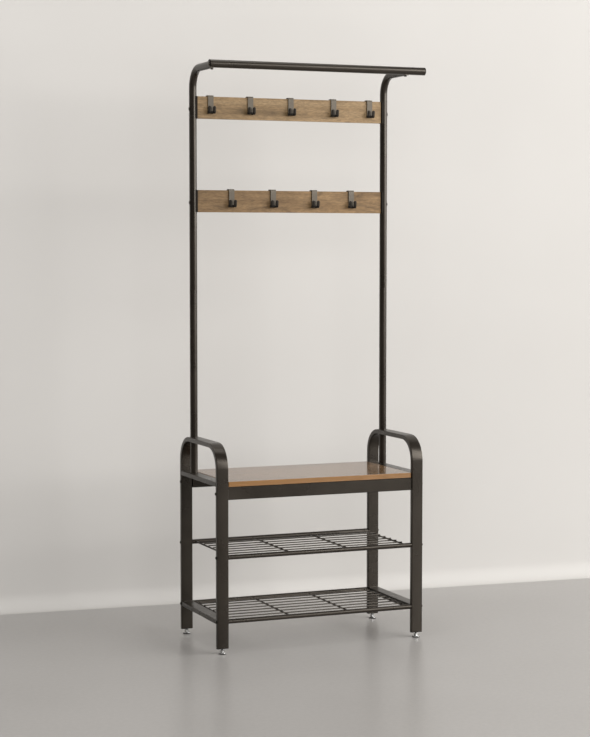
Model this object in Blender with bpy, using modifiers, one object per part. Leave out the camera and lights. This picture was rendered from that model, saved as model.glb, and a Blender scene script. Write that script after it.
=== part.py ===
"""Hall tree with hooks: two bent flat-tube side frames, a shoe bench with two wire shelves, two
round posts that carry two hook boards and a hanging bar, nine movable hooks and four levelling feet.

Metres, +Z up, the front faces -Y. Everything is placed round the middle of the bench, and the empty
"hall_tree" then shifts it sideways, so that the origin is under the middle of the whole object,
whose hanging bar reaches past the right-hand side frame.
"""

from math import cos, pi, radians, sin

import bmesh
import bpy
from mathutils import Matrix, Vector

# Whole object
OVERALL_HEIGHT = 1.8315
FRAME_WIDTH = 0.703
FRAME_DEPTH = 0.350
CLEARANCE = 0.0003

# Side frames: flat tube, wide face to the front
TUBE_WIDTH = 0.038
TUBE_THICKNESS = 0.015
TUBE_WALL = 0.0015
TUBE_CORNER = 0.0025
LEG_BOTTOM = 0.0185
ARMREST_TOP = 0.650
ARMREST_BEND = 0.080
SEAT_TOP = 0.5345
SHELF_HEIGHTS = {"middle": 0.300, "lower": 0.100}
SIDE_X = (FRAME_WIDTH - TUBE_WIDTH) / 2
LEG_Y = (FRAME_DEPTH - TUBE_THICKNESS) / 2
LEG_INNER_X = FRAME_WIDTH / 2 - TUBE_WIDTH

# Bench
SEAT_THICKNESS = 0.016
SEAT_GAP = 0.002
SEAT_CORNER = 0.002
SEAT_EDGE = 0.001
APRON_HEIGHT = 0.040
APRON_RECESS = 0.0045
APRON_Y = FRAME_DEPTH / 2 - APRON_RECESS - TUBE_THICKNESS / 2
APRON_TOP = SEAT_TOP - SEAT_THICKNESS - CLEARANCE
APRON_Z = APRON_TOP - APRON_HEIGHT / 2
APRON_BOLT_Y = 0.165

# Wire shelves
RAIL_RADIUS = 0.0075
CROSS_WIRE_RADIUS = 0.003
LONG_WIRE_RADIUS = 0.002
CROSS_WIRE_SPACING = 0.200
CROSS_WIRES = 4
LONG_WIRES = 7
WIRE_SINK = 0.0005
RAIL_SIDES = 12
WIRE_SIDES = 8

# Posts and their forward arms
POST_RADIUS = 0.012
POST_WALL = 0.0015
POST_HOLE_RADIUS = POST_RADIUS + 0.0004
POST_Y = LEG_Y - 0.0775
POST_JOINT_Z = 1.120
SPIGOT_RADIUS = 0.0100
SPIGOT_LENGTH = 0.035
ARM_BEND = 0.060
ARM_Z = 1.8155
ARM_TIP_Y = -0.087
ARM_PLUG = 0.028
ROUND_SIDES = 16

# Hanging bar
BAR_RADIUS = 0.0125
BAR_WALL = 0.0015
BAR_LEFT = -0.3385
BAR_RIGHT = 0.3975
BAR_Y = -0.080
BAR_Z = OVERALL_HEIGHT - BAR_RADIUS
BAR_CAP = 0.0015
BAR_CAP_PLUG = 0.003
BAR_BOLT_X = SIDE_X - 0.003

# Hook boards
BOARD_HEIGHT = 0.070
BOARD_THICKNESS = 0.015
BOARD_Z = {"upper": 1.696, "lower": 1.401}
BRACKET_WEB = 0.0007
BRACKET_DEPTH = 0.024
BRACKET_REACH = 0.0082
BRACKET_SLOPE = 0.0022
BOARD_HALF_LENGTH = SIDE_X - POST_HOLE_RADIUS - BRACKET_WEB - CLEARANCE

# Hooks: a strap over the board's edge, whose front end turns up in two tines
HOOK_X = {
    "upper": (-0.276, -0.141, -0.0015, 0.1487, 0.277),
    "lower": (-0.206, -0.063, 0.081, 0.212),
}
HOOK_PLATE = 0.0035
HOOK_GAP = 0.0004
HOOK_STRAP_WIDTH = 0.0185
HOOK_FORK_WIDTH = 0.026
HOOK_NOTCH_WIDTH = 0.007
HOOK_BEND = 0.0065
HOOK_BOTTOM = -0.0543
HOOK_TIP = -0.0313
HOOK_BACK_LENGTH = 0.028

# Bolts and levelling feet
BOLT_HEAD_RADIUS = 0.00475
BOLT_HEAD_HEIGHT = 0.0032
BOLT_RADIUS = 0.00275
BOLT_HOLE_RADIUS = 0.0031
BOLT_SIDES = 12
LEG_BOLT_LENGTH = 0.050
BOARD_BOLT_LENGTH = 0.046
BOARD_BOLT_DROP = 0.005
BOARD_HEAD_RADIUS = 0.0055
BOARD_HEAD_HEIGHT = 0.0013
BAR_BOLT_LENGTH = 0.011
FOOT_RADIUS = 0.0125
FOOT_PAD_TOP = 0.0055
FOOT_CHAMFER = 0.0008
FOOT_HUB_RADIUS = 0.0073
FOOT_HUB_TOP = 0.0125
FOOT_STEM_RADIUS = 0.0040
FOOT_STEM_TOP = 0.042
INSERT_FLANGE = 0.0015
INSERT_HEIGHT = 0.018

# The bar's right end and the left-hand bolt heads are the widest points.
WIDEST_LEFT = FRAME_WIDTH / 2 + CLEARANCE + BOLT_HEAD_HEIGHT
CENTRING_SHIFT = (WIDEST_LEFT - BAR_RIGHT) / 2

SIDES = {"left": -1, "right": 1}
ENDS = {"front": -1, "rear": 1}
ACROSS = (pi / 2, 0, pi / 2)  # turns an outline's x to depth, its y to height and its depth to width


def clear_scene():
    for obj in list(bpy.data.objects):
        bpy.data.objects.remove(obj, do_unlink=True)


def new_collection(name):
    collection = bpy.data.collections.new(name)
    bpy.context.scene.collection.children.link(collection)
    return collection


def new_material(name, color, roughness, metallic=0.0):
    material = bpy.data.materials.new(name)
    material.use_nodes = True
    shader = material.node_tree.nodes["Principled BSDF"]
    shader.inputs["Base Color"].default_value = (*color, 1.0)
    shader.inputs["Roughness"].default_value = roughness
    shader.inputs["Metallic"].default_value = metallic
    return material


clear_scene()
PARTS = new_collection("hall_tree_parts")
CUTTERS = new_collection("hall_tree_cutters")
BLACK_COAT = new_material("black_powder_coat", (0.028, 0.025, 0.021), 0.35)
HOOK_COAT = new_material("hook_coat", (0.070, 0.062, 0.052), 0.35, 0.2)
BLACK_BOLT = new_material("black_bolt", (0.022, 0.020, 0.018), 0.30, 0.5)
BLACK_PLASTIC = new_material("black_plastic", (0.03, 0.03, 0.03), 0.55)
BOARD_WOOD = new_material("hook_board_wood", (0.30, 0.21, 0.125), 0.45)
SEAT_WOOD = new_material("seat_wood", (0.27, 0.17, 0.10), 0.15)
BRIGHT_ZINC = new_material("bright_zinc", (0.75, 0.75, 0.72), 0.25, 1.0)

ROOT = bpy.data.objects.new("hall_tree", None)
ROOT.location = (CENTRING_SHIFT, 0, 0)
PARTS.objects.link(ROOT)


def add_part(name, mesh, material, location=(0, 0, 0), rotation=(0, 0, 0)):
    """One sub-part, placed under the root empty."""
    part = bpy.data.objects.new(name, mesh)
    if not mesh.materials:
        mesh.materials.append(material)
    part.parent = ROOT
    part.location = location
    part.rotation_euler = rotation
    PARTS.objects.link(part)
    return part


def finished_mesh(obj):
    """The object's evaluated mesh with its loose points joined; the object itself is removed."""
    bpy.context.view_layer.update()
    graph = bpy.context.evaluated_depsgraph_get()
    mesh = bpy.data.meshes.new_from_object(obj.evaluated_get(graph))
    work = bmesh.new()
    work.from_mesh(mesh)
    bmesh.ops.remove_doubles(work, verts=work.verts, dist=1e-6)
    work.to_mesh(mesh)
    work.free()
    mesh.name = obj.name
    data = obj.data
    bpy.data.objects.remove(obj, do_unlink=True)
    if isinstance(data, bpy.types.Curve):
        bpy.data.curves.remove(data)
    smooth(mesh)
    return mesh


def smooth(mesh):
    mesh.shade_smooth()
    mesh.set_sharp_from_angle(angle=radians(35))


def mesh_from(work, name):
    mesh = bpy.data.meshes.new(name)
    bmesh.ops.recalc_face_normals(work, faces=work.faces)
    work.to_mesh(mesh)
    work.free()
    smooth(mesh)
    return mesh


def add_rod(work, start, end, radius, sides):
    """A capped cylinder between two points, into a bmesh."""
    start, end = Vector(start), Vector(end)
    along = end - start
    place = Matrix.Translation((start + end) / 2) @ along.to_track_quat("Z", "Y").to_matrix().to_4x4()
    bmesh.ops.create_cone(
        work, cap_ends=True, segments=sides, radius1=radius, radius2=radius, depth=along.length, matrix=place
    )


def add_box(work, low, high):
    low, high = Vector(low), Vector(high)
    place = Matrix.Translation((low + high) / 2) @ Matrix.Diagonal((*(high - low), 1))
    bmesh.ops.create_cube(work, size=1, matrix=place)


def cut(part, work, parent=ROOT, operation="DIFFERENCE"):
    """Cuts the shapes in a bmesh out of a part, or joins them to it. They share the part's parent frame."""
    cutter = bpy.data.objects.new(part.name + "_cutter", mesh_from(work, part.name + "_cutter"))
    cutter.parent = parent
    cutter.hide_render = True
    cutter.display_type = "WIRE"
    CUTTERS.objects.link(cutter)
    modifier = part.modifiers.new("shape", "BOOLEAN")
    modifier.operation = operation
    modifier.solver = "EXACT"
    modifier.object = cutter
    return cutter


def drop(cutter):
    mesh = cutter.data
    bpy.data.objects.remove(cutter, do_unlink=True)
    bpy.data.meshes.remove(mesh)


def scratch(name, mesh):
    """An object that only exists until its shape has been worked out."""
    obj = bpy.data.objects.new(name, mesh)
    PARTS.objects.link(obj)
    return obj


def cut_mesh(name, mesh, work, operation="DIFFERENCE"):
    """The mesh with the bmesh's shapes cut out of it, for a piece that several objects share."""
    obj = scratch(name, mesh)
    cutter = cut(obj, work, parent=None, operation=operation)
    result = finished_mesh(obj)
    drop(cutter)
    return result


def outline_mesh(name, outlines, depth, corner=0.0):
    """Closed outlines in the XY plane, filled and extruded to a depth about it; corner rounds the rim."""
    curve = bpy.data.curves.new(name, "CURVE")
    curve.dimensions = "2D"
    curve.fill_mode = "BOTH"
    curve.extrude = depth / 2 - corner
    curve.bevel_depth = corner
    curve.bevel_resolution = 1
    curve.offset = -corner
    for points in outlines:
        spline = curve.splines.new("POLY")
        spline.points.add(len(points) - 1)
        spline.use_cyclic_u = True
        for point, (x, y) in zip(spline.points, points):
            point.co = (x, y, 0, 1)
    return finished_mesh(scratch(name, curve))


def turned(name, profile, sides, closed=False):
    """Revolves a profile of (radius, height) points, listed down the outer side, about the Z axis."""
    mesh = bpy.data.meshes.new(name)
    count = len(profile)
    edges = [(i, i + 1) for i in range(count - 1)] + ([(count - 1, 0)] if closed else [])
    mesh.from_pydata([(r, 0, z) for r, z in profile], edges, [])
    obj = scratch(name, mesh)
    screw = obj.modifiers.new("turn", "SCREW")
    screw.steps = screw.render_steps = sides
    screw.use_merge_vertices = True
    screw.merge_threshold = 0.00005
    return finished_mesh(obj)


def arc(centre, radius, start, end, steps):
    """Points on an arc in a plane, from one angle in degrees to the other."""
    angles = (radians(start + (end - start) * i / steps) for i in range(steps + 1))
    return [(centre[0] + radius * cos(a), centre[1] + radius * sin(a)) for a in angles]


def rounded_rectangle(width, height, corner, steps=2):
    x, y = width / 2 - corner, height / 2 - corner
    return (
        arc((x, y), corner, 0, 90, steps)
        + arc((-x, y), corner, 90, 180, steps)
        + arc((-x, -y), corner, 180, 270, steps)
        + arc((x, -y), corner, 270, 360, steps)
    )


def flat_tube(name, width, height, length):
    """A straight rectangular tube, open at both ends, along local Z."""
    outer = rounded_rectangle(width, height, TUBE_CORNER)
    bore = rounded_rectangle(width - 2 * TUBE_WALL, height - 2 * TUBE_WALL, TUBE_CORNER - TUBE_WALL, 1)
    return outline_mesh(name, (outer, bore), length)


def loop_outline(inset, bottom, steps=8):
    """The side view of the bent leg tube, its walls moved inwards by inset; x is depth, y is height."""
    outer_y, top = FRAME_DEPTH / 2 - inset, ARMREST_TOP - inset
    inner_y = FRAME_DEPTH / 2 - TUBE_THICKNESS + inset
    centre_y, centre_z = FRAME_DEPTH / 2 - ARMREST_BEND, ARMREST_TOP - ARMREST_BEND
    outer_radius = ARMREST_BEND - inset
    inner_radius = ARMREST_BEND - TUBE_THICKNESS + inset
    return (
        [(outer_y, bottom)]
        + arc((centre_y, centre_z), outer_radius, 0, 90, steps)
        + arc((-centre_y, centre_z), outer_radius, 90, 180, steps)
        + [(-outer_y, bottom), (-inner_y, bottom)]
        + arc((-centre_y, centre_z), inner_radius, 180, 90, steps)
        + arc((centre_y, centre_z), inner_radius, 90, 0, steps)
        + [(inner_y, bottom)]
    )


def make_leg_loop():
    """The bent flat tube that is front leg, armrest and rear leg in one, with its bolt and post holes."""
    loop = outline_mesh("leg_loop", [loop_outline(0, LEG_BOTTOM)], TUBE_WIDTH, TUBE_CORNER)
    below = LEG_BOTTOM - TUBE_THICKNESS
    bore = outline_mesh("leg_bore", [loop_outline(TUBE_WALL, below)], TUBE_WIDTH - 2 * TUBE_WALL)
    work = bmesh.new()
    work.from_mesh(bore)
    loop = cut_mesh("leg_loop", loop, work)
    holes = bmesh.new()
    for end in ENDS.values():
        bolts = [(end * LEG_Y, height) for height in SHELF_HEIGHTS.values()]
        for y, z in bolts + [(end * APRON_BOLT_Y, APRON_Z)]:
            add_rod(holes, (y, z, -TUBE_WIDTH), (y, z, TUBE_WIDTH), BOLT_HOLE_RADIUS, BOLT_SIDES)
    add_rod(
        holes,
        (POST_Y, ARMREST_TOP - 2 * TUBE_THICKNESS, 0),
        (POST_Y, ARMREST_TOP + TUBE_THICKNESS, 0),
        POST_HOLE_RADIUS,
        ROUND_SIDES,
    )
    return cut_mesh("leg_loop", loop, holes)


def make_lower_post():
    """A turned tube from the seat rail through the armrest to the joint, with its reduced spigot on top."""
    bottom, bore = SEAT_TOP + CLEARANCE, POST_RADIUS - POST_WALL
    spigot_top = POST_JOINT_Z + SPIGOT_LENGTH
    spigot_bore = SPIGOT_RADIUS - POST_WALL
    profile = [
        (SPIGOT_RADIUS, spigot_top),
        (SPIGOT_RADIUS, POST_JOINT_Z),
        (POST_RADIUS, POST_JOINT_Z),
        (POST_RADIUS, bottom),
        (bore, bottom),
        (bore, POST_JOINT_Z - POST_WALL),
        (spigot_bore, POST_JOINT_Z - POST_WALL),
        (spigot_bore, spigot_top),
    ]
    return turned("lower_post", profile, ROUND_SIDES, closed=True)


def side_frames():
    loop, lower_post = make_leg_loop(), make_lower_post()
    rail_length = FRAME_DEPTH - 2 * TUBE_THICKNESS - 2 * CLEARANCE
    rail = flat_tube("side_rail", TUBE_WIDTH, TUBE_THICKNESS, rail_length)
    rail_heights = {"seat_rail": SEAT_TOP - TUBE_THICKNESS / 2, "lower_rail": SHELF_HEIGHTS["lower"]}
    for side, sign in SIDES.items():
        add_part(side + "_leg_loop", loop, BLACK_COAT, (sign * SIDE_X, 0, 0), ACROSS)
        add_part(side + "_lower_post", lower_post, BLACK_COAT, (sign * SIDE_X, POST_Y, 0))
        for name, height in rail_heights.items():
            add_part(f"{side}_{name}", rail, BLACK_COAT, (sign * SIDE_X, 0, height), (pi / 2, 0, 0))


def arm_path(start, tip_y, steps=8):
    """Up the post from a height, round the bend and forward to the tip, as (y, z) points."""
    bend = arc((POST_Y - ARM_BEND, ARM_Z - ARM_BEND), ARM_BEND, 0, 90, steps)
    return [(POST_Y, start)] + bend + [(tip_y, ARM_Z)]


def swept_tube(name, path, radius):
    """A round bar along a path of (y, z) points."""
    curve = bpy.data.curves.new(name, "CURVE")
    curve.dimensions = "3D"
    curve.bevel_depth = radius
    curve.bevel_resolution = ROUND_SIDES // 2 - 2
    curve.use_fill_caps = True
    spline = curve.splines.new("POLY")
    spline.points.add(len(path) - 1)
    for point, (y, z) in zip(spline.points, path):
        point.co = (0, y, z, 1)
    return finished_mesh(scratch(name, curve))


def make_upper_post():
    """The hollow upper post, bent forward into an arm whose last stretch is closed."""
    bottom = POST_JOINT_Z + CLEARANCE
    post = swept_tube("upper_post", arm_path(bottom, ARM_TIP_Y), POST_RADIUS)
    bore_path = arm_path(bottom - POST_RADIUS, ARM_TIP_Y + ARM_PLUG)
    bore = swept_tube("upper_bore", bore_path, POST_RADIUS - POST_WALL)
    work = bmesh.new()
    work.from_mesh(bore)
    return cut_mesh("upper_post", post, work)


def upper_posts():
    """Each arm's end is scooped out for the bar, which stops inside the left one and runs past the right."""
    post = make_upper_post()
    for side, sign in SIDES.items():
        x = sign * SIDE_X
        part = add_part(side + "_upper_post", post.copy(), BLACK_COAT, (x, 0, 0))
        work = bmesh.new()
        bar_start = (BAR_LEFT - CLEARANCE, BAR_Y, BAR_Z)
        add_rod(work, bar_start, (BAR_RIGHT, BAR_Y, BAR_Z), BAR_RADIUS + CLEARANCE, 2 * ROUND_SIDES)
        bolt_x = sign * BAR_BOLT_X
        below, above = (bolt_x, BAR_Y, ARM_Z - 2 * POST_RADIUS), (bolt_x, BAR_Y, BAR_Z)
        holes = bmesh.new()
        add_rod(holes, below, above, BOLT_HOLE_RADIUS, BOLT_SIDES)
        for board_z in BOARD_Z.values():
            bolt_z = board_z - BOARD_BOLT_DROP
            near, far = (x - 2 * POST_RADIUS, POST_Y, bolt_z), (x + 2 * POST_RADIUS, POST_Y, bolt_z)
            add_rod(holes, near, far, BOLT_HOLE_RADIUS, BOLT_SIDES)
        cut(part, work)
        cut(part, holes)


def hanging_bar():
    left, right = BAR_LEFT + BAR_CAP + CLEARANCE, BAR_RIGHT - BAR_CAP - CLEARANCE
    work = bmesh.new()
    add_rod(work, (left, BAR_Y, BAR_Z), (right, BAR_Y, BAR_Z), BAR_RADIUS, ROUND_SIDES)
    part = add_part("hanging_bar", mesh_from(work, "hanging_bar"), BLACK_COAT)
    bore = bmesh.new()
    add_rod(bore, (2 * left, BAR_Y, BAR_Z), (2 * right, BAR_Y, BAR_Z), BAR_RADIUS - BAR_WALL, ROUND_SIDES)
    cut(part, bore)
    holes = bmesh.new()
    for sign in SIDES.values():
        bolt_x = sign * BAR_BOLT_X
        below, above = (bolt_x, BAR_Y, BAR_Z - 2 * BAR_RADIUS), (bolt_x, BAR_Y, BAR_Z - BAR_RADIUS / 2)
        add_rod(holes, below, above, BOLT_HOLE_RADIUS, BOLT_SIDES)
    cut(part, holes)
    plug = BAR_RADIUS - BAR_WALL - CLEARANCE
    profile = [(0, BAR_CAP), (BAR_RADIUS, BAR_CAP), (BAR_RADIUS, 0)]
    profile += [(plug, 0), (plug, -BAR_CAP_PLUG), (0, -BAR_CAP_PLUG)]
    cap = turned("bar_end_cap", profile, ROUND_SIDES)
    for side, sign, end in (("left", -1, BAR_LEFT + BAR_CAP), ("right", 1, BAR_RIGHT - BAR_CAP)):
        add_part(side + "_bar_end_cap", cap, BLACK_PLASTIC, (end, BAR_Y, BAR_Z), (0, sign * pi / 2, 0))


def bracket_outline(sign):
    """The plan of a bracket about its post's depth: as deep as the board there, sloping out to its lips."""
    inner = BOARD_HALF_LENGTH + CLEARANCE
    slope_end, outer = inner + BRACKET_SLOPE, inner + BRACKET_REACH
    front = [(inner, -BOARD_THICKNESS / 2), (slope_end, -BRACKET_DEPTH / 2), (outer, -BRACKET_DEPTH / 2)]
    rear = [(x, -y) for x, y in reversed(front)]
    return [(sign * x, y) for x, y in front + rear]


def hook_boards():
    """Two wooden boards between the posts, each with a black saddle bracket at both ends."""
    half_height, half_thickness = BOARD_HEIGHT / 2, BOARD_THICKNESS / 2
    for level, z in BOARD_Z.items():
        work = bmesh.new()
        add_box(
            work,
            (-BOARD_HALF_LENGTH, POST_Y - half_thickness, z - half_height),
            (BOARD_HALF_LENGTH, POST_Y + half_thickness, z + half_height),
        )
        board = add_part(level + "_hook_board", mesh_from(work, level + "_hook_board"), BOARD_WOOD)
        holes = bmesh.new()
        bolt_end = SIDE_X + POST_RADIUS - BOARD_BOLT_LENGTH - 2 * BOLT_RADIUS
        for side, sign in SIDES.items():
            centre_x = sign * SIDE_X
            bolt_z = z - BOARD_BOLT_DROP
            bolt_tip, bolt_middle = (sign * bolt_end, POST_Y, bolt_z), (centre_x, POST_Y, bolt_z)
            add_rod(holes, bolt_tip, bolt_middle, BOLT_HOLE_RADIUS, BOLT_SIDES)
            name = f"{level}_board_{side}_bracket"
            saddle = outline_mesh(name, [bracket_outline(sign)], BOARD_HEIGHT)
            bracket = add_part(name, saddle, BLACK_PLASTIC, (0, POST_Y, z))
            cope = bmesh.new()
            below, above = (centre_x, POST_Y, z - BOARD_HEIGHT), (centre_x, POST_Y, z + BOARD_HEIGHT)
            add_rod(cope, below, above, POST_HOLE_RADIUS, 2 * ROUND_SIDES)
            cut(bracket, cope)
            bolt_hole = bmesh.new()
            add_rod(bolt_hole, (0, POST_Y, bolt_z), bolt_middle, BOLT_HOLE_RADIUS, BOLT_SIDES)
            cut(bracket, bolt_hole)
        cut(board, holes)


def hook_outline(steps=6):
    """The hook's side view about the board's top edge: x is depth (front negative), y is height."""
    inner = BOARD_THICKNESS / 2 + HOOK_GAP
    outer = inner + HOOK_PLATE
    top = HOOK_GAP + HOOK_PLATE
    corner = HOOK_PLATE
    bend_x = -inner - HOOK_PLATE / 2 - HOOK_BEND
    bend_y = HOOK_BOTTOM + HOOK_PLATE / 2 + HOOK_BEND
    outside, inside = HOOK_BEND + HOOK_PLATE / 2, HOOK_BEND - HOOK_PLATE / 2
    return (
        [(inner, -HOOK_BACK_LENGTH), (outer, -HOOK_BACK_LENGTH)]
        + arc((outer - corner, top - corner), corner, 0, 90, 3)
        + arc((corner - outer, top - corner), corner, 90, 180, 3)
        + arc((bend_x, bend_y), inside, 0, -180, steps)
        + [(bend_x - inside, HOOK_TIP), (bend_x - outside, HOOK_TIP)]
        + arc((bend_x, bend_y), outside, -180, 0, steps)
        + [(-inner, HOOK_GAP), (inner, HOOK_GAP)]
    )


def make_hook():
    """A bent plate, wide at the fork, narrowed to a strap above it, with a notch between the two tines."""
    plate = outline_mesh("hook", [hook_outline()], HOOK_FORK_WIDTH)
    bend_x = -(BOARD_THICKNESS / 2 + HOOK_GAP + HOOK_PLATE / 2 + HOOK_BEND)
    shoulder = HOOK_BOTTOM + 2 * HOOK_BEND
    work = bmesh.new()
    for sign in (-1, 1):
        edges = sorted((sign * HOOK_STRAP_WIDTH / 2, sign * HOOK_FORK_WIDTH))
        add_box(work, (bend_x, shoulder, edges[0]), (BOARD_THICKNESS, BOARD_THICKNESS, edges[1]))
    half_notch = HOOK_NOTCH_WIDTH / 2
    notch_bottom = HOOK_BOTTOM + HOOK_BEND
    add_box(work, (4 * bend_x, notch_bottom, -half_notch), (bend_x, 0, half_notch))
    return cut_mesh("hook", plate, work)


def hooks():
    hook = make_hook()
    for level, places in HOOK_X.items():
        top = BOARD_Z[level] + BOARD_HEIGHT / 2
        for number, x in enumerate(places, 1):
            add_part(f"{level}_hook_{number}", hook, HOOK_COAT, (x, POST_Y, top), ACROSS)


def aprons_and_seat():
    """Two tubular aprons with tapped end plates, and the seat board that rests on them."""
    half_length = LEG_INNER_X - CLEARANCE
    for end, sign in ENDS.items():
        name, y = end + "_seat_apron", sign * APRON_Y
        section = rounded_rectangle(TUBE_THICKNESS, APRON_HEIGHT, TUBE_CORNER / 2, 1)
        solid = outline_mesh(name, [section], 2 * half_length)
        part = add_part(name, solid, BLACK_COAT, (0, y, APRON_Z), ACROSS)
        work = bmesh.new()
        inner_y, inner_z = TUBE_THICKNESS / 2 - TUBE_WALL, APRON_HEIGHT / 2 - TUBE_WALL
        inner_x = half_length - 2 * TUBE_WALL
        add_box(work, (-inner_x, y - inner_y, APRON_Z - inner_z), (inner_x, y + inner_y, APRON_Z + inner_z))
        cut(part, work)
        holes = bmesh.new()
        bolt_y = sign * APRON_BOLT_Y
        for side in SIDES.values():
            start, finish = side * (inner_x - TUBE_WALL), side * FRAME_WIDTH / 2
            add_rod(holes, (start, bolt_y, APRON_Z), (finish, bolt_y, APRON_Z), BOLT_HOLE_RADIUS, BOLT_SIDES)
        cut(part, holes)
    half_width, half_depth = LEG_INNER_X - SEAT_GAP, FRAME_DEPTH / 2 - APRON_RECESS
    outline = rounded_rectangle(2 * half_width, 2 * half_depth, SEAT_CORNER)
    seat = outline_mesh("seat_board", [outline], SEAT_THICKNESS, SEAT_EDGE)
    add_part("seat_board", seat, SEAT_WOOD, (0, 0, SEAT_TOP - SEAT_THICKNESS / 2))


def make_shelf():
    """Front and rear rails, cross wires between them and long wires on top, welded into one grid."""
    half_length = LEG_INNER_X - CLEARANCE
    first_cross = -CROSS_WIRE_SPACING * (CROSS_WIRES - 1) / 2
    lengthwise = bmesh.new()
    for sign in ENDS.values():
        rail_y = sign * LEG_Y
        add_rod(lengthwise, (-half_length, rail_y, 0), (half_length, rail_y, 0), RAIL_RADIUS, RAIL_SIDES)
    wire_z = CROSS_WIRE_RADIUS + LONG_WIRE_RADIUS - WIRE_SINK
    wire_end = -first_cross + CROSS_WIRE_RADIUS / 2
    for number in range(1, LONG_WIRES + 1):
        y = LEG_Y * (2 * number / (LONG_WIRES + 1) - 1)
        add_rod(lengthwise, (-wire_end, y, wire_z), (wire_end, y, wire_z), LONG_WIRE_RADIUS, WIRE_SIDES)
    crosswise = bmesh.new()
    for number in range(CROSS_WIRES):
        x = first_cross + number * CROSS_WIRE_SPACING
        add_rod(crosswise, (x, -LEG_Y, 0), (x, LEG_Y, 0), CROSS_WIRE_RADIUS, WIRE_SIDES)
    grid = cut_mesh("shelf", mesh_from(lengthwise, "shelf"), crosswise, "UNION")
    holes = bmesh.new()
    hole_start = FRAME_WIDTH / 2 - LEG_BOLT_LENGTH - 2 * BOLT_RADIUS
    for sign in ENDS.values():
        for side in SIDES.values():
            add_rod(
                holes,
                (side * hole_start, sign * LEG_Y, 0),
                (side * FRAME_WIDTH / 2, sign * LEG_Y, 0),
                BOLT_HOLE_RADIUS,
                BOLT_SIDES,
            )
    return cut_mesh("shelf", grid, holes)


def shelves():
    shelf = make_shelf()
    for level, z in SHELF_HEIGHTS.items():
        add_part(level + "_wire_shelf", shelf, BLACK_COAT, (0, 0, z))


def make_bolt(name, length, head_radius=BOLT_HEAD_RADIUS, head_height=BOLT_HEAD_HEIGHT):
    """A domed bolt, its head's underside at the origin and its shank down -Z."""
    profile = [
        (0, head_height),
        (head_radius * 0.6, head_height * 0.93),
        (head_radius, head_height / 3),
        (head_radius, 0),
        (BOLT_RADIUS, 0),
        (BOLT_RADIUS, -length),
        (0, -length),
    ]
    return turned(name, profile, BOLT_SIDES)


def bolts():
    leg_bolt = make_bolt("leg_bolt", LEG_BOLT_LENGTH)
    board_bolt = make_bolt("board_bolt", BOARD_BOLT_LENGTH, BOARD_HEAD_RADIUS, BOARD_HEAD_HEIGHT)
    bar_bolt = make_bolt("bar_bolt", BAR_BOLT_LENGTH)
    levels = {"apron": (APRON_BOLT_Y, APRON_Z)}
    levels.update({name + "_shelf": (LEG_Y, z) for name, z in SHELF_HEIGHTS.items()})
    for side, sign in SIDES.items():
        outwards = (0, sign * pi / 2, 0)
        face = sign * (FRAME_WIDTH / 2 + CLEARANCE)
        for end, towards in ENDS.items():
            for level, (y, z) in levels.items():
                name = f"{end}_{side}_{level}_bolt"
                add_part(name, leg_bolt, BLACK_BOLT, (face, towards * y, z), outwards)
        post_face = sign * (SIDE_X + POST_RADIUS + CLEARANCE)
        for level, z in BOARD_Z.items():
            place = (post_face, POST_Y, z - BOARD_BOLT_DROP)
            add_part(f"{level}_board_{side}_bolt", board_bolt, BLACK_BOLT, place, outwards)
        underside = ARM_Z - POST_RADIUS - CLEARANCE
        add_part(side + "_bar_bolt", bar_bolt, BLACK_BOLT, (sign * BAR_BOLT_X, BAR_Y, underside), (pi, 0, 0))


def make_leg_insert():
    """The plastic plug that closes a leg's end and holds the foot's thread."""
    width, height = TUBE_WIDTH - 2 * TUBE_WALL, TUBE_THICKNESS - 2 * TUBE_WALL
    corner = TUBE_CORNER - TUBE_WALL
    outline = rounded_rectangle(width - 2 * CLEARANCE, height - 2 * CLEARANCE, corner, 1)
    plug = outline_mesh("leg_insert", [outline], INSERT_HEIGHT)
    work = bmesh.new()
    work.from_mesh(plug)
    bmesh.ops.translate(work, verts=work.verts, vec=(0, 0, INSERT_HEIGHT / 2 - INSERT_FLANGE / 2))
    rim = rounded_rectangle(TUBE_WIDTH, TUBE_THICKNESS, TUBE_CORNER)
    flange = outline_mesh("leg_flange", [rim], INSERT_FLANGE)
    flange = cut_mesh("leg_insert", flange, work, "UNION")
    hole = bmesh.new()
    stem_clearance = FOOT_STEM_RADIUS + CLEARANCE
    add_rod(hole, (0, 0, -INSERT_HEIGHT), (0, 0, 2 * INSERT_HEIGHT), stem_clearance, BOLT_SIDES)
    return cut_mesh("leg_insert", flange, hole)


def make_foot():
    """A levelling foot: threaded stem in a low turned pad, its sole at the origin."""
    profile = [
        (0, FOOT_STEM_TOP),
        (FOOT_STEM_RADIUS, FOOT_STEM_TOP),
        (FOOT_STEM_RADIUS, FOOT_HUB_TOP),
        (FOOT_HUB_RADIUS * 0.93, FOOT_HUB_TOP),
        (FOOT_HUB_RADIUS, FOOT_HUB_TOP - FOOT_CHAMFER),
        (FOOT_HUB_RADIUS, FOOT_PAD_TOP),
        (FOOT_RADIUS - FOOT_CHAMFER, FOOT_PAD_TOP),
        (FOOT_RADIUS, FOOT_PAD_TOP - FOOT_CHAMFER),
        (FOOT_RADIUS, FOOT_CHAMFER),
        (FOOT_RADIUS - FOOT_CHAMFER, 0),
        (0, 0),
    ]
    return turned("foot", profile, ROUND_SIDES)


def feet():
    insert, foot = make_leg_insert(), make_foot()
    flange_z = LEG_BOTTOM - CLEARANCE - INSERT_FLANGE / 2
    for end, towards in ENDS.items():
        for side, sign in SIDES.items():
            x, y = sign * SIDE_X, towards * LEG_Y
            add_part(f"{end}_{side}_leg_insert", insert, BLACK_PLASTIC, (x, y, flange_z))
            add_part(f"{end}_{side}_foot", foot, BRIGHT_ZINC, (x, y, 0))


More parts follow.
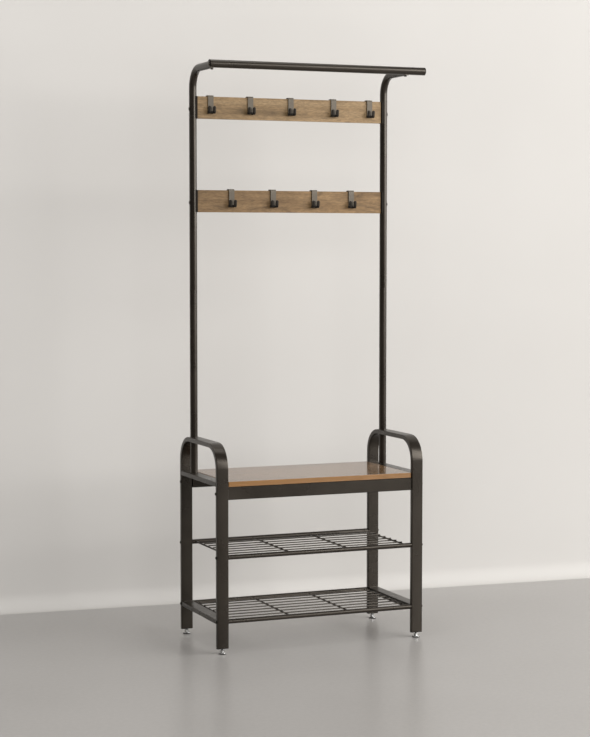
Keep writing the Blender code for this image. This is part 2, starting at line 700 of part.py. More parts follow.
side_frames()
upper_posts()
hanging_bar()
hook_boards()
hooks()
aprons_and_seat()
shelves()
bolts()
feet()
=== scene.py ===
"""Visual model of the hall tree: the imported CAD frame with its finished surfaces, studio floor, light
and camera. Metres, +Z up, the front faces -Y."""

from math import cos, pi, radians, sin

import bmesh
import bpy
from mathutils import Matrix, Vector


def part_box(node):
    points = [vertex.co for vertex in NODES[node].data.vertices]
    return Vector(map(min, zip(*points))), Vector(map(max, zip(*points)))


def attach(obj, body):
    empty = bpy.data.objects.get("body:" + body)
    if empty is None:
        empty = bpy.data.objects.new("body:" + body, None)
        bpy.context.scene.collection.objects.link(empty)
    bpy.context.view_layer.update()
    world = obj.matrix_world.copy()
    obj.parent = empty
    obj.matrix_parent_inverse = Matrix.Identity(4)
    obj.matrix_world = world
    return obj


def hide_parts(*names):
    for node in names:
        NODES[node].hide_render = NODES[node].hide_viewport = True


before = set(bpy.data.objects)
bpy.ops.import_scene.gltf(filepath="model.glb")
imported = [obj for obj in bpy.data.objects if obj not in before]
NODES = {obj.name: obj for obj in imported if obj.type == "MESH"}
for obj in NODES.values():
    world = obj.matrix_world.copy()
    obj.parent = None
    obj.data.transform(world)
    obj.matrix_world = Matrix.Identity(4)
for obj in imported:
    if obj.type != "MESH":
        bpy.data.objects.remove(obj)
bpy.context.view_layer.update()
CENTRE_X = (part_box("seat_board")[0].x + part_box("seat_board")[1].x) / 2

# Camera: where the picture was taken from, seen from the middle of the bench
EYE = (-2.3299, -5.5861, 1.2669)
EYE_TURN = 22.463
EYE_TILT = 3.788
LENS = 92.245


# ---------------------------------------------------------------- materials


class Shader:
    """A node material, built up by short calls."""

    def __init__(self, name, roughness=0.5, metallic=0.0):
        self.material = bpy.data.materials.new(name)
        self.material.use_nodes = True
        self.tree = self.material.node_tree
        self.surface = self.tree.nodes["Principled BSDF"]
        self.surface.inputs["Roughness"].default_value = roughness
        self.surface.inputs["Metallic"].default_value = metallic

    def add(self, kind, **settings):
        node = self.tree.nodes.new("ShaderNode" + kind)
        for key, value in settings.items():
            setattr(node, key, value)
        return node

    def link(self, output, target):
        self.tree.links.new(output, target)

    def place(self, scale, offset=(0, 0, 0)):
        """Coordinates in metres on the piece, stretched by a scale."""
        coordinates = self.add("TexCoord")
        mapping = self.add("Mapping")
        mapping.inputs["Scale"].default_value = scale
        mapping.inputs["Location"].default_value = offset
        self.link(coordinates.outputs["Object"], mapping.inputs["Vector"])
        return mapping.outputs["Vector"]

    def noise(self, vector, scale=1.0, detail=2.0, roughness=0.5, distortion=0.0):
        node = self.add("TexNoise")
        node.inputs["Scale"].default_value = scale
        node.inputs["Detail"].default_value = detail
        node.inputs["Roughness"].default_value = roughness
        node.inputs["Distortion"].default_value = distortion
        self.link(vector, node.inputs["Vector"])
        return node.outputs["Fac"]

    def ramp(self, factor, *stops):
        """Colour stops as (position, colour), where a colour may be one grey number."""
        node = self.add("ValToRGB")
        elements = node.color_ramp.elements
        while len(elements) < len(stops):
            elements.new(0.5)
        for element, (position, color) in zip(elements, stops):
            element.position = position
            element.color = (*color, 1) if isinstance(color, tuple) else (color, color, color, 1)
        self.link(factor, node.inputs["Fac"])
        return node.outputs["Color"]

    def mix(self, factor, first, second, blend="MIX"):
        node = self.add("Mix", data_type="RGBA", blend_type=blend)
        sockets = [node.inputs[0], node.inputs[6], node.inputs[7]]
        for socket, value in zip(sockets, (factor, first, second)):
            if isinstance(value, bpy.types.NodeSocket):
                self.link(value, socket)
            elif isinstance(value, tuple):
                socket.default_value = (*value, 1)
            else:
                socket.default_value = value
        return node.outputs[2]

    def along_x(self, reach):
        """0 at the piece's left end and 1 at its right end, reach away from its middle."""
        parts = self.add("SeparateXYZ")
        self.link(self.place((0.5 / reach, 1, 1), (0.5, 0, 0)), parts.inputs["Vector"])
        return parts.outputs["X"]

    def edge_mask(self):
        """1 on upright faces and 0 on level ones."""
        coordinates = self.add("TexCoord")
        parts = self.add("SeparateXYZ")
        self.link(coordinates.outputs["Normal"], parts.inputs["Vector"])
        size = self.add("Math", operation="ABSOLUTE")
        self.link(parts.outputs["Z"], size.inputs[0])
        return self.ramp(size.outputs["Value"], (0.45, 1.0), (0.75, 0.0))

    def set(self, **values):
        """Surface inputs: a number, a colour or an output to link. Underscores stand for spaces."""
        for key, value in values.items():
            socket = self.surface.inputs[key.replace("_", " ")]
            if isinstance(value, bpy.types.NodeSocket):
                self.link(value, socket)
            else:
                socket.default_value = (*value, 1) if isinstance(value, tuple) else value
        return self

    def bump(self, height, strength, distance):
        node = self.add("Bump")
        node.inputs["Strength"].default_value = strength
        node.inputs["Distance"].default_value = distance
        self.link(height, node.inputs["Height"])
        self.link(node.outputs["Normal"], self.surface.inputs["Normal"])
        return self


WARM_SHEEN = (1.0, 0.90, 0.78)
PLASTIC_SHEEN = 0.12
BOARD_REACH = 0.32


def coated_metal(name, color, roughness, metallic, specular=0.5):
    """Powder coat: a fine orange peel, and a slow change of tone and sheen along each tube."""
    shader = Shader(name, metallic=metallic)
    slow = shader.noise(shader.place((9, 9, 9)), detail=3)
    fine = shader.noise(shader.place((900, 900, 900)), detail=1)
    speck = shader.noise(shader.place((2600, 2600, 2600)), detail=2)
    low = tuple(0.82 * c for c in color)
    high = tuple(1.16 * c for c in color)
    tone = shader.ramp(slow, (0.3, low), (0.7, high))
    bright = tuple(2.2 * c for c in color)
    speckled = shader.mix(shader.ramp(speck, (0.55, 0.0), (0.75, 0.35)), tone, bright)
    sheen = shader.ramp(slow, (0.3, roughness - 0.05), (0.7, roughness + 0.07))
    shader.set(Base_Color=speckled, Roughness=sheen, Specular_IOR_Level=specular, Specular_Tint=WARM_SHEEN)
    shader.bump(fine, 0.25, 0.0002)
    return shader.material


def plain_plastic(name, color, roughness):
    """Moulded plastic with a fine grain and hardly any sheen."""
    shader = Shader(name)
    slow = shader.noise(shader.place((40, 40, 40)), detail=3)
    fine = shader.noise(shader.place((1800, 1800, 1800)), detail=2)
    low = tuple(0.8 * c for c in color)
    high = tuple(1.25 * c for c in color)
    shader.set(
        Base_Color=shader.ramp(slow, (0.3, low), (0.7, high)),
        Roughness=shader.ramp(slow, (0.3, roughness - 0.05), (0.7, roughness + 0.08)),
        Specular_IOR_Level=PLASTIC_SHEEN,
        Specular_Tint=WARM_SHEEN,
    )
    shader.bump(fine, 0.3, 0.0001)
    return shader.material


def plated_metal(name, color, roughness):
    """Bright plating with faint turning marks and a few dull patches."""
    shader = Shader(name, metallic=1.0)
    rings = shader.noise(shader.place((30, 30, 2500)), detail=2)
    patches = shader.noise(shader.place((120, 120, 120)), detail=3)
    dull = tuple(0.75 * c for c in color)
    shader.set(
        Base_Color=shader.ramp(patches, (0.35, dull), (0.6, color)),
        Roughness=shader.ramp(patches, (0.35, roughness + 0.15), (0.6, roughness)),
    )
    shader.bump(rings, 0.15, 0.00005)
    return shader.material


def wood(name, tones, seed, roughness, relief=0.4, specular=0.5, painted_light_lean=1.0, edge=None):
    """Veneer with its grain along X: slow bands, fine fibres, dark pores and a few knots.
    One ratio paints the right end lighter than the left one, as painted light falling from the right; edge
    tints the rim."""
    dark, middle, light = tones
    shader = Shader(name)
    offset = (seed * 3.7, seed * 1.9, seed * 2.3)
    warp = shader.noise(shader.place((2.5, 9, 9), offset), detail=2)
    bands = shader.noise(shader.place((1.6, 34, 34), offset), detail=5, roughness=0.6, distortion=0.9)
    fibres = shader.noise(shader.place((16, 620, 620), offset), detail=4, roughness=0.65)
    pores = shader.noise(shader.place((55, 1500, 1500), offset), detail=2)
    flecks = shader.noise(shader.place((70, 260, 260), offset), detail=3, roughness=0.7)
    patches = shader.noise(shader.place((7, 26, 26), offset), detail=3, distortion=1.8)
    base = shader.ramp(bands, (0.24, dark), (0.46, middle), (0.62, light), (0.8, middle))
    streaked = shader.mix(0.55, base, shader.ramp(fibres, (0.3, 0.62), (0.62, 1.12)), "MULTIPLY")
    flecked = shader.mix(0.8, streaked, shader.ramp(flecks, (0.36, 0.70), (0.62, 1.16)), "MULTIPLY")
    knots = shader.ramp(patches, (0.30, 0.50), (0.40, 0.88), (0.5, 1.0))
    knotted = shader.mix(0.7, flecked, knots, "MULTIPLY")
    pored = shader.mix(0.5, knotted, shader.ramp(pores, (0.32, 0.55), (0.42, 1.0)), "MULTIPLY")
    toned = shader.mix(0.4, pored, shader.ramp(warp, (0.3, 0.78), (0.7, 1.18)), "MULTIPLY")
    # Painted light: the colour brightens from the board's left end to its right end, as if lit from the
    # right.
    painted_light_at_left_end = 2 / (1 + painted_light_lean)
    painted_light_ramp = shader.ramp(shader.along_x(BOARD_REACH), (0.0, painted_light_at_left_end), (1.0, painted_light_at_left_end * painted_light_lean))
    toned = shader.mix(1.0, toned, painted_light_ramp, "MULTIPLY")
    if edge:
        banded = shader.mix(0.8, edge, shader.ramp(fibres, (0.3, 0.72), (0.62, 1.15)), "MULTIPLY")
        toned = shader.mix(shader.edge_mask(), toned, banded)
    shader.set(
        Base_Color=toned,
        Roughness=shader.ramp(fibres, (0.3, roughness + 0.08), (0.7, roughness)),
        Specular_IOR_Level=specular,
    )
    shader.bump(fibres, relief, 0.0002)
    return shader.material


BLACK_COAT = coated_metal("black_powder_coat_look", (0.0135, 0.0107, 0.0082), 0.29, 0.0, 0.45)
HOOK_COAT = coated_metal("hook_strap_look", (0.078, 0.067, 0.053), 0.38, 0.2)
# Dark coat for the fork and tines, also laid on the hook plate's upright sides as painted shade.
HOOK_FORK_AND_SIDE_SHADE = coated_metal("hook_fork_and_side_shade_look", (0.0080, 0.0066, 0.0058), 0.36, 0.0, 0.22)
BLACK_BOLT = coated_metal("black_bolt_look", (0.020, 0.018, 0.016), 0.28, 0.4)
BLACK_PLASTIC = plain_plastic("black_plastic_look", (0.0060, 0.0050, 0.0042), 0.45)
ZINC = plated_metal("bright_zinc_look", (0.62, 0.62, 0.61), 0.22)
UPPER_TONES = ((0.133, 0.083, 0.036), (0.250, 0.162, 0.079), (0.318, 0.216, 0.113))
LOWER_TONES = ((0.093, 0.053, 0.022), (0.182, 0.109, 0.048), (0.250, 0.156, 0.073))
SEAT_TONES = ((0.092, 0.047, 0.022), (0.178, 0.100, 0.049), (0.245, 0.148, 0.076))
SEAT_EDGE = (0.245, 0.126, 0.047)
# Each board's right end is painted lighter than its left end: painted light from the right.
UPPER_WOOD = wood("upper_board_look", UPPER_TONES, 1.0, 0.5, specular=0.3, painted_light_lean=1.1)
LOWER_WOOD = wood("lower_board_look", LOWER_TONES, 2.0, 0.5, specular=0.3, painted_light_lean=1.5)
SEAT_WOOD = wood("seat_look", SEAT_TONES, 3.0, 0.13, 0.2, specular=0.62, edge=SEAT_EDGE)


# ---------------------------------------------------------------- shapes


def dress(obj, material):
    obj.data.materials.clear()
    obj.data.materials.append(material)


def soften(obj, angle=35):
    """Joins a CAD node's split corners and shades its curves smooth and its flats flat, moving no point."""
    obj.data.shade_smooth()
    weld = obj.modifiers.new("weld", "WELD")
    weld.merge_threshold = 0.00002
    split = obj.modifiers.new("split", "EDGE_SPLIT")
    split.split_angle = radians(angle)
    flats = obj.modifiers.new("flats", "WEIGHTED_NORMAL")
    flats.weight = 100
    flats.keep_sharp = True


def ease(node, width):
    """Rounds a node's sharp edges."""
    easing = node.modifiers.new("eased_edges", "BEVEL")
    easing.width = width
    easing.segments = 2
    easing.limit_method = "ANGLE"
    easing.angle_limit = radians(50)


def piece(name, mesh, material, body, node=None):
    obj = bpy.data.objects.new(name, mesh)
    if material:
        mesh.materials.append(material)
    bpy.context.scene.collection.objects.link(obj)
    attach(obj, body)
    if node:
        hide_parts(node)
    return obj


def mesh_from(work, name, angle=40):
    mesh = bpy.data.meshes.new(name)
    bmesh.ops.recalc_face_normals(work, faces=work.faces)
    work.to_mesh(mesh)
    work.free()
    mesh.shade_smooth()
    mesh.set_sharp_from_angle(angle=radians(angle))
    return mesh


def lathe(work, profile, place, sides=32):
    """Turns a profile of (radius, height) points about local Z; a radius of 0 closes the end."""
    rings = []
    for radius, height in profile:
        if radius == 0:
            rings.append([work.verts.new(place @ Vector((0, 0, height)))])
            continue
        ring = []
        for i in range(sides):
            turn = 2 * pi * i / sides
            ring.append(work.verts.new(place @ Vector((radius * cos(turn), radius * sin(turn), height))))
        rings.append(ring)
    for lower, upper in zip(rings, rings[1:]):
        for i in range(sides):
            j = (i + 1) % sides
            corners = [lower[k % len(lower)] for k in (i, j)]
            corners += [upper[k % len(upper)] for k in (j, i)]
            unique = list(dict.fromkeys(corners))
            if len(unique) > 2:
                work.faces.new(unique)


def bolt_mesh(name, place, head_radius, head_height, shank_radius, length):
    """A button-head bolt with a hexagon socket; its head's underside is at the origin of place."""
    sides = 24
    socket_radius = 0.40 * head_radius
    socket_floor = 0.45 * head_height
    rises = [radians(a) for a in range(8, 62, 9)]
    dome = [(head_radius * cos(a), head_height * (0.25 + 0.75 * sin(a))) for a in rises]
    top = dome[-1][1]
    profile = [(0, -length), (shank_radius * 0.8, -length), (shank_radius, 0.0008 - length)]
    profile += [(shank_radius, 0), (head_radius * 0.97, 0), (head_radius, head_height * 0.15)] + dome
    work = bmesh.new()
    lathe(work, profile, place, sides)
    work.verts.ensure_lookup_table()
    rim = work.verts[-sides:]
    mouth, floor = [], []
    for i in range(sides):
        turn = 2 * pi * i / sides
        reach = socket_radius * cos(pi / 6) / cos(turn % (pi / 3) - pi / 6)
        x, y = reach * cos(turn), reach * sin(turn)
        mouth.append(work.verts.new(place @ Vector((x, y, top))))
        floor.append(work.verts.new(place @ Vector((x, y, socket_floor))))
    for outer, inner in ((rim, mouth), (mouth, floor)):
        for i in range(sides):
            j = (i + 1) % sides
            work.faces.new((outer[i], outer[j], inner[j], inner[i]))
    work.faces.new(floor)
    return mesh_from(work, name)


def bead(work, points, radius, closed=False, ripple=0.12):
    """A weld bead along points: a thin rod whose thickness ripples as the weld pool did."""
    sides, rings = 8, []
    count = len(points)
    for i, point in enumerate(points):
        before = points[i - 1] if closed or i else points[0]
        after = points[(i + 1) % count] if closed or i < count - 1 else points[-1]
        along = (Vector(after) - Vector(before)).normalized()
        turn = along.to_track_quat("Z", "Y").to_matrix()
        size = radius * (1 + ripple * sin(2.1 * i) + ripple / 2 * sin(5.3 * i))
        if not closed and i in (0, count - 1):
            size *= 0.45
        ring = []
        for k in range(sides):
            a = 2 * pi * k / sides
            ring.append(work.verts.new(Vector(point) + turn @ Vector((size * cos(a), size * sin(a), 0))))
        rings.append(ring)
    pairs = list(zip(rings, rings[1:])) + ([(rings[-1], rings[0])] if closed else [])
    for first, second in pairs:
        for k in range(sides):
            j = (k + 1) % sides
            work.faces.new((first[k], first[j], second[j], second[k]))
    if not closed:
        work.faces.new(rings[0])
        work.faces.new(rings[-1])


# ---------------------------------------------------------------- hooks

PLATE = 0.0034
BOARD_GAP = 0.0005
TOP_BEND = 0.0028
TRAY_BEND = 0.0064
BACK_LENGTH = 0.031
TINE_RISE = 0.0225
TINE_LEAN = 0.0016
TINE_STEPS = 6
CORNER_CUT = 0.0015
STRAP_HALF = 0.0092
FORK_HALF = 0.0128
NOTCH_HALF = 0.0036
FORK_HEIGHT = 0.030
FORK_LENGTH = 0.0385
FORK_FULL_LENGTH = 0.0290
NOTCH_LENGTH = 0.0265
FORK_ROUNDING = 0.0013
STRAP_ROUNDING = 0.0007


def arc(middle, height, radius, degrees):
    """Points of a bend in side view, as (y, z)."""
    turns = [radians(a) for a in degrees]
    return [(middle + radius * cos(a), height + radius * sin(a)) for a in turns]


def plate_path(box, board):
    """Side view of the bent plate as (y, z) points, from its back end over the board to its tips."""
    half_plate = PLATE / 2
    front = board[0].y - BOARD_GAP - half_plate
    back = board[1].y + BOARD_GAP + half_plate
    top = box[1].z - half_plate
    low = box[0].z + half_plate
    shoulder = top - TOP_BEND
    tray = low + TRAY_BEND
    tip = low + TINE_RISE
    points = [(back, box[1].z - BACK_LENGTH), (back, shoulder - 0.012)]
    points += arc(back - TOP_BEND, shoulder, TOP_BEND, range(0, 91, 18))
    points += arc(front + TOP_BEND, shoulder, TOP_BEND, range(90, 181, 18))
    points += [(front, top - drop) for drop in (0.012, 0.022, 0.032, 0.038)]
    points += arc(front - TRAY_BEND, tray, TRAY_BEND, range(0, -181, -15))
    for k in range(1, TINE_STEPS + 1):
        share = k / TINE_STEPS
        points.append((front - 2 * TRAY_BEND - TINE_LEAN * share, tray + (tip - tray) * share))
    return points


def fork_outline(total):
    """Outline of the flat plate, as (across, along): a strap that widens to two tines at its far end."""
    fork_start, fork_full = total - FORK_LENGTH, total - FORK_FULL_LENGTH
    notch_start = total - NOTCH_LENGTH
    tine_half = (FORK_HALF - NOTCH_HALF) / 2
    steps = [radians(15 * i) for i in range(13)]
    outline = [(-STRAP_HALF, CORNER_CUT), (-STRAP_HALF + CORNER_CUT, 0)]
    outline += [(STRAP_HALF - CORNER_CUT, 0), (STRAP_HALF, CORNER_CUT)]
    outline += [(STRAP_HALF, fork_start)]
    middle = (fork_start + fork_full) / 2
    flare = (STRAP_HALF + FORK_HALF) / 2
    outline += [(flare, middle), (FORK_HALF, fork_full)]
    tip_centre = (FORK_HALF + NOTCH_HALF) / 2
    tip_height = total - tine_half
    outline += [(tip_centre + tine_half * cos(a), tip_height + tine_half * sin(a)) for a in steps]
    outline += [(NOTCH_HALF * cos(a), notch_start + NOTCH_HALF * (1 - sin(a))) for a in steps]
    outline += [(-tip_centre + tine_half * cos(a), tip_height + tine_half * sin(a)) for a in steps]
    outline += [(-FORK_HALF, fork_full), (-flare, middle), (-STRAP_HALF, fork_start)]
    return outline


def flat_plate(outline, lengths):
    """The flat outline as one face, cut across at every bend so that it can follow the path."""
    flat = bmesh.new()
    flat.faces.new([flat.verts.new((u, v, 0)) for u, v in outline])
    for level in lengths[1:-1]:
        everything = flat.verts[:] + flat.edges[:] + flat.faces[:]
        bmesh.ops.bisect_plane(flat, geom=everything, plane_co=(0, level, 0), plane_no=(0, 1, 0), dist=1e-6)
    flat.verts.ensure_lookup_table()
    flat.verts.index_update()
    return flat


def hook_mesh(name, box, board):
    """One hook: a flat fork outline, bent along the plate's side view and given its thickness."""
    path = [Vector((0, y, z)) for y, z in plate_path(box, board)]
    lengths = [0.0]
    for first, second in zip(path, path[1:]):
        lengths.append(lengths[-1] + (second - first).length)
    centre = (box[0].x + box[1].x) / 2

    def bent(u, v, w):
        """Where a point of the flat plate ends up: across, along and out of it."""
        index = max(i for i in range(len(lengths) - 1) if lengths[i] <= v + 1e-9)
        step = (v - lengths[index]) / (lengths[index + 1] - lengths[index])
        normals = []
        for k in (index, index + 1):
            before, after = path[max(k - 1, 0)], path[min(k + 1, len(path) - 1)]
            along = (after - before).normalized()
            normals.append(Vector((0, along.z, -along.y)))
        place = path[index].lerp(path[index + 1], step)
        normal = normals[0].lerp(normals[1], step).normalized()
        return Vector((centre + u, 0, 0)) + place + normal * w

    flat = flat_plate(fork_outline(lengths[-1]), lengths)
    work = bmesh.new()
    front = [work.verts.new(bent(v.co.x, v.co.y, PLATE / 2)) for v in flat.verts]
    back = [work.verts.new(bent(v.co.x, v.co.y, -PLATE / 2)) for v in flat.verts]
    for face in flat.faces:
        work.faces.new([front[v.index] for v in face.verts])
        work.faces.new([back[v.index] for v in reversed(face.verts)])
    for edge in flat.edges:
        if len(edge.link_faces) == 1:
            a, b = (v.index for v in edge.verts)
            work.faces.new((front[a], front[b], back[b], back[a]))
    flat.free()
    bmesh.ops.recalc_face_normals(work, faces=work.faces)
    fork_top = box[0].z + FORK_HEIGHT
    turn = front_edge(board) - PLATE
    rims = [edge for edge in work.edges if edge.is_manifold and edge.calc_face_angle() > radians(50)]
    fork_rims = [rim for rim in rims if all(v.co.y < turn and v.co.z < fork_top for v in rim.verts)]
    rounding = {"offset": FORK_ROUNDING, "offset_type": "OFFSET", "segments": 3, "profile": 0.5}
    bmesh.ops.bevel(work, geom=fork_rims, affect="EDGES", **rounding)
    mesh = mesh_from(work, name, 50)
    mesh.materials.append(HOOK_COAT)
    mesh.materials.append(HOOK_FORK_AND_SIDE_SHADE)
    # The fork and tines take the dark coat, and so do the plate's upright side faces, where the dark colour
    # is painted shade.
    for face in mesh.polygons:
        face.material_index = int(face.center.y < turn or abs(face.normal.x) > 0.7)
    return mesh


def front_edge(board):
    """How far forward the strap stands against the board."""
    return board[0].y - BOARD_GAP


def hooks():
    for name in sorted(NODES):
        if "_hook_" not in name or name.endswith("board"):
            continue
        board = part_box(name.split("_")[0] + "_hook_board")
        hook = piece(name + "_look", hook_mesh(name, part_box(name), board), None, name, name)
        rounding = hook.modifiers.new("rounding", "BEVEL")
        rounding.width = STRAP_ROUNDING
        rounding.segments = 2
        rounding.angle_limit = radians(50)


# ---------------------------------------------------------------- bolts, feet and welds

HEAD_HEIGHT = 0.0032
BOARD_HEAD_HEIGHT = 0.0013
SHANK_RADIUS = 0.00275
SOLE_TOP = 0.0022
PAD_TOP = 0.0055
PAD_ROUNDING = 0.0016
NUT_RADIUS = 0.0073
NUT_TOP = 0.0125
STEM_RADIUS = 0.0040
THREAD_PITCH = 0.00125
THREAD_DEPTH = 0.0006
TUBE_THICKNESS = 0.015
POST_BEAD = 0.0011
RAIL_BEAD = 0.0013
RAIL_BEAD_INSET = 0.003


def bolts():
    """Every bolt with its round head outside and its shank in the same hole as the CAD's."""
    for name in sorted(NODES):
        if not name.endswith("_bolt"):
            continue
        low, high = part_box(name)
        middle = (low + high) / 2
        head = BOARD_HEAD_HEIGHT if "board" in name else HEAD_HEIGHT
        if "bar_bolt" in name:
            origin, outward = Vector((middle.x, middle.y, low.z + head)), Vector((0, 0, -1))
            length, radius = high.z - low.z - head, (high.x - low.x) / 2
        else:
            left = "left" in name
            face = low.x + head if left else high.x - head
            origin, outward = Vector((face, middle.y, middle.z)), Vector((-1 if left else 1, 0, 0))
            length, radius = high.x - low.x - head, (high.z - low.z) / 2
        place = Matrix.Translation(origin) @ outward.to_track_quat("Z", "Y").to_matrix().to_4x4()
        mesh = bolt_mesh(name, place, radius, head, SHANK_RADIUS, length)
        piece(name + "_look", mesh, BLACK_BOLT, "frame", name)


def foot_sole(name, place, radius):
    work = bmesh.new()
    rim = [(radius * 0.86, 0), (radius * 0.92, 0.0006), (radius * 0.92, SOLE_TOP)]
    lathe(work, [(0, 0)] + rim + [(0, SOLE_TOP)], place, 48)
    piece(name + "_sole", mesh_from(work, name + "_sole"), BLACK_PLASTIC, name)


def foot_pad(name, place, radius):
    work = bmesh.new()
    middle, core = (SOLE_TOP + PAD_TOP) / 2, radius - PAD_ROUNDING
    angles = [radians(a) for a in range(-90, 91, 15)]
    rim = [(core + PAD_ROUNDING * cos(a), middle + PAD_ROUNDING * sin(a)) for a in angles]
    lathe(work, [(0, SOLE_TOP)] + rim + [(0, PAD_TOP)], place, 48)
    piece(name + "_pad", mesh_from(work, name + "_pad"), ZINC, name, name)


def foot_stem(name, place, total_height):
    """The hexagon on the pad and the threaded stem above it."""
    work = bmesh.new()
    nut = [(0, PAD_TOP), (NUT_RADIUS * 0.95, PAD_TOP), (NUT_RADIUS, PAD_TOP + 0.0005)]
    nut += [(NUT_RADIUS, NUT_TOP - 0.0005), (NUT_RADIUS * 0.93, NUT_TOP), (0, NUT_TOP)]
    lathe(work, nut, place, 6)
    height, thread = NUT_TOP, []
    root = STEM_RADIUS - THREAD_DEPTH
    while height + THREAD_PITCH < total_height:
        thread += [(root, height), (STEM_RADIUS, height + THREAD_PITCH / 2)]
        height += THREAD_PITCH
    lathe(work, [(0, NUT_TOP)] + thread + [(root, height), (0, height)], place, 20)
    piece(name + "_stem", mesh_from(work, name + "_stem", 25), ZINC, name)


def feet():
    """Each foot: a plated pad on a black sole, a hexagon on it and a threaded stem up into the leg."""
    for end in ("front", "rear"):
        for side in ("left", "right"):
            name = f"{end}_{side}_foot"
            low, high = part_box(name)
            place = Matrix.Translation(((low.x + high.x) / 2, (low.y + high.y) / 2, low.z))
            radius = (high.x - low.x) / 2
            foot_sole(name, place, radius)
            foot_pad(name, place, radius)
            foot_stem(name, place, high.z - low.z)


def circle(centre, radius, count=40):
    turns = (2 * pi * i / count for i in range(count))
    return [(centre[0] + radius * cos(a), centre[1] + radius * sin(a), centre[2]) for a in turns]


def welds():
    """Beads where each post meets the seat rail and the armrest, and along the rails' ends on the legs."""
    for side in ("left", "right"):
        work = bmesh.new()
        post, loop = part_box(side + "_lower_post"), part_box(side + "_leg_loop")
        x, y = (post[0].x + post[1].x) / 2, (post[0].y + post[1].y) / 2
        radius = (post[1].x - post[0].x) / 2
        arm_top = loop[1].z
        arm_bottom = arm_top - TUBE_THICKNESS
        for z in (post[0].z, arm_top, arm_bottom):
            bead(work, circle((x, y, z), radius + 0.0004), POST_BEAD, closed=True)
        for rail_name in ("seat_rail", "lower_rail"):
            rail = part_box(f"{side}_{rail_name}")
            start, finish = rail[0].x + RAIL_BEAD_INSET, rail[1].x - RAIL_BEAD_INSET
            for end_y in (rail[0].y, rail[1].y):
                for z in (rail[0].z, rail[1].z):
                    if rail_name == "seat_rail" and z == rail[1].z:
                        continue
                    points = [(start + (finish - start) * i / 16, end_y, z) for i in range(17)]
                    bead(work, points, RAIL_BEAD)
        name = side + "_weld_beads"
        piece(name, mesh_from(work, name), BLACK_COAT, "frame")


# ---------------------------------------------------------------- carried-over CAD nodes


BOARD_EASING = 0.0008
POST_EASING = 0.0009


def carried_nodes():
    """Gives the CAD nodes that stay in view their materials, smooth shading and eased edges."""
    looks = {
        "upper_hook_board": UPPER_WOOD,
        "lower_hook_board": LOWER_WOOD,
        "seat_board": SEAT_WOOD,
    }
    for name, node in NODES.items():
        if name.endswith(("_bolt", "_foot")) or ("_hook_" in name and not name.endswith("board")):
            continue
        plastic = name.endswith(("_bracket", "_cap", "_insert"))
        dress(node, looks.get(name, BLACK_PLASTIC if plastic else BLACK_COAT))
        soften(node)
        if name.endswith("hook_board"):
            ease(node, BOARD_EASING)
        elif name.endswith("lower_post"):
            ease(node, POST_EASING)


# ---------------------------------------------------------------- studio


FLOOR_REACH = 9.0
WALL_Y = 0.70
WALL_TURN = -4.0
WALL_HALF = 6.0
WALL_HEIGHT = 5.0
WALL_COVE = 0.06


def fading_floor():
    """A pale floor round the object that fades out into the air, so that it has no rim from any side."""
    work = bmesh.new()
    bmesh.ops.create_grid(work, x_segments=1, y_segments=1, size=FLOOR_REACH)
    floor = bpy.data.objects.new("studio_floor", mesh_from(work, "studio_floor"))
    shader = Shader("studio_floor_look", roughness=0.30)
    cloudy = shader.noise(shader.place((1.2, 1.2, 1.2)), detail=3)
    grain = shader.noise(shader.place((70, 70, 70)), detail=3)
    tone = shader.ramp(cloudy, (0.3, (0.330, 0.318, 0.306)), (0.7, (0.358, 0.346, 0.334)))
    grained = shader.mix(0.5, tone, shader.ramp(grain, (0.3, 0.92), (0.7, 1.06)), "MULTIPLY")
    distance = shader.add("VectorMath", operation="LENGTH")
    shader.link(shader.place((1, 1, 0)), distance.inputs[0])
    spread = shader.add("MapRange")
    spread.inputs["From Min"].default_value = FLOOR_REACH * 0.45
    spread.inputs["From Max"].default_value = FLOOR_REACH * 0.95
    spread.inputs["To Min"].default_value = 1.0
    spread.inputs["To Max"].default_value = 0.0
    shader.link(distance.outputs["Value"], spread.inputs["Value"])
    shader.set(Base_Color=grained, Alpha=spread.outputs["Result"], Specular_IOR_Level=0.4)
    floor.data.materials.append(shader.material)
    return floor


def backdrop():
    """A plain upright sheet behind the object with a small cove at its foot, see-through from behind."""
    turns = [radians(a) for a in range(0, 91, 9)]
    profile = [(WALL_COVE * (sin(a) - 1), WALL_COVE * (1 - cos(a))) for a in turns]
    profile.append((0, WALL_HEIGHT))
    mesh = bpy.data.meshes.new("studio_backdrop")
    points = [(x, y, z + 0.0005) for y, z in profile for x in (-WALL_HALF, WALL_HALF)]
    faces = [(2 * i, 2 * i + 1, 2 * i + 3, 2 * i + 2) for i in range(len(profile) - 1)]
    mesh.from_pydata(points, [], faces)
    mesh.shade_smooth()
    sheet = bpy.data.objects.new("studio_backdrop", mesh)
    sheet.location = (CENTRE_X, WALL_Y, 0)
    sheet.rotation_euler.z = radians(WALL_TURN)
    shader = Shader("studio_backdrop_look", roughness=0.75)
    cloudy = shader.noise(shader.place((0.9, 0.9, 0.9)), detail=3)
    paint = shader.ramp(cloudy, (0.3, (0.535, 0.520, 0.500)), (0.7, (0.565, 0.550, 0.530)))
    side = shader.add("NewGeometry")
    solid = shader.ramp(side.outputs["Backfacing"], (0.0, 1.0), (1.0, 0.0))
    shader.set(Base_Color=paint, Alpha=solid, Specular_IOR_Level=0.2)
    mesh.materials.append(shader.material)
    return sheet


def stage():
    for obj in (fading_floor(), backdrop()):
        bpy.context.scene.collection.objects.link(obj)


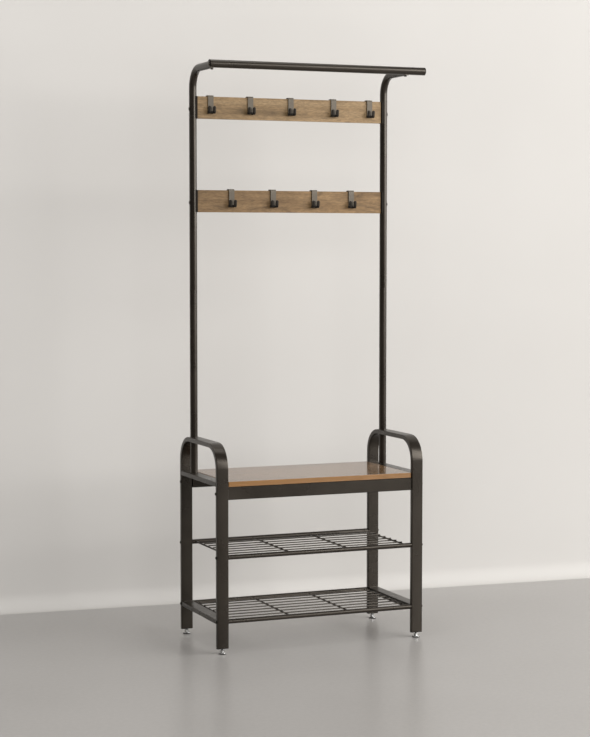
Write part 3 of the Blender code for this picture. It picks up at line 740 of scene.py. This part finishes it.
def area_light(name, place, target, size, power, color):
    data = bpy.data.lights.new(name, "AREA")
    data.shape = "RECTANGLE"
    data.size, data.size_y = size
    data.energy = power
    data.color = color
    light = bpy.data.objects.new(name, data)
    light.location = place
    light.rotation_euler = (Vector(target) - Vector(place)).to_track_quat("-Z", "Y").to_euler()
    bpy.context.scene.collection.objects.link(light)
    return light


def studio_air():
    """The air lights the object faintly and looks pale behind it."""
    world = bpy.data.worlds.new("studio_air")
    world.use_nodes = True
    tree = world.node_tree
    faint = tree.nodes["Background"]
    faint.inputs["Color"].default_value = (1.0, 0.985, 0.965, 1)
    faint.inputs["Strength"].default_value = 0.09
    pale = tree.nodes.new("ShaderNodeBackground")
    pale.inputs["Color"].default_value = (0.76, 0.735, 0.70, 1)
    seen = tree.nodes.new("ShaderNodeLightPath")
    choose = tree.nodes.new("ShaderNodeMixShader")
    tree.links.new(seen.outputs["Is Camera Ray"], choose.inputs["Fac"])
    tree.links.new(faint.outputs["Background"], choose.inputs[1])
    tree.links.new(pale.outputs["Background"], choose.inputs[2])
    tree.links.new(choose.outputs["Shader"], tree.nodes["World Output"].inputs["Surface"])
    bpy.context.scene.world = world


def studio_light():
    studio_air()
    area_light("window", (4.9, -3.9, 3.0), (0, 0.2, 1.0), (7.8, 4.2), 700, (1.0, 0.985, 0.965))
    area_light("wash", (-2.8, -0.8, 2.9), (-1.7, 0.7, 0.6), (2.4, 1.2), 22, (1.0, 0.985, 0.965))
    area_light("overhead", (0.0, 0.1, 4.2), (0, 0.4, 0.8), (2.5, 2.0), 34, (1.0, 0.99, 0.97))
    fill = area_light("fill", (-1.8, -4.6, 1.5), (-0.5, 0.7, 0.8), (3.0, 2.4), 85, (1.0, 0.99, 0.98))
    fill.visible_glossy = False


def camera():
    data = bpy.data.cameras.new("camera")
    data.lens = LENS
    data.clip_end = 60
    eye = bpy.data.objects.new("camera", data)
    eye.location = Vector(EYE) + Vector((CENTRE_X, 0, 0))
    eye.rotation_euler = (radians(90 - EYE_TILT), 0, radians(-EYE_TURN))
    bpy.context.scene.collection.objects.link(eye)
    bpy.context.scene.camera = eye


carried_nodes()
hooks()
bolts()
feet()
welds()
stage()
studio_light()
camera()
bpy.context.scene.view_settings.view_transform = "Standard"
